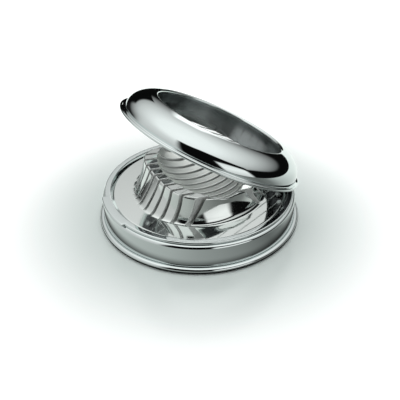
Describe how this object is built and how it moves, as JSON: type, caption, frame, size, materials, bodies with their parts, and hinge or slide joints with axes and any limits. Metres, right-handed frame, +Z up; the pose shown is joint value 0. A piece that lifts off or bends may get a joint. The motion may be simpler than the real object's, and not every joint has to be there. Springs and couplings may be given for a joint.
{
  "type": "egg slicer",
  "caption": "Round egg slicer: polished drum base with a slotted egg cradle on its deck, and a domed ring lid on a rear hinge that carries the cutting wires.",
  "frame": {"origin": "middle of the round footprint, on the surface that the slicer stands on", "axes": "+Z up, +Y towards the hinge and along the wires, +X along the hinge pin and the egg's long axis"},
  "size_m": [0.115, 0.115, 0.0747],
  "materials": {
    "mirror_steel": "mirror polished stainless steel",
    "polished_casting": "mirror polished casting with satin cut faces in the slots",
    "satin_steel": "plain satin sheet",
    "collar_steel": "satin spun inner wall",
    "wire_steel": "drawn bright wire",
    "screw_steel": "turned steel",
    "washer_brass": "plain brass",
    "pad_rubber": "matt non-slip pad"
  },
  "bodies": {
    "base": {"drum": "mirror_steel", "rim_ring": "mirror_steel", "cradle": "polished_casting", "bottom_cover": "satin_steel", "cover_screws": "screw_steel", "foot_pads": "pad_rubber", "hinge_bracket": "satin_steel", "bracket_screws": "screw_steel", "hinge_pin": "screw_steel", "pin_cap": "screw_steel", "friction_washers": "washer_brass"},
    "lid": {"lid_shell": "mirror_steel", "lid_collar": "collar_steel", "wire_ring": "satin_steel", "wire_posts": "screw_steel", "hinge_leaf": "satin_steel", "leaf_rivets": "screw_steel", "wire_01": "wire_steel", "wire_02": "wire_steel", "wire_03": "wire_steel", "wire_04": "wire_steel", "wire_05": "wire_steel", "wire_06": "wire_steel", "wire_07": "wire_steel", "wire_08": "wire_steel", "wire_09": "wire_steel", "wire_10": "wire_steel", "wire_11": "wire_steel"}
  },
  "joints": [
    {"name": "lid_hinge", "type": "hinge", "parent": "base", "child": "lid", "pos_m": [0, 0.0535, 0.0163], "axis": [-1, 0, 0], "range_deg": [-28, 72]}
  ]
}
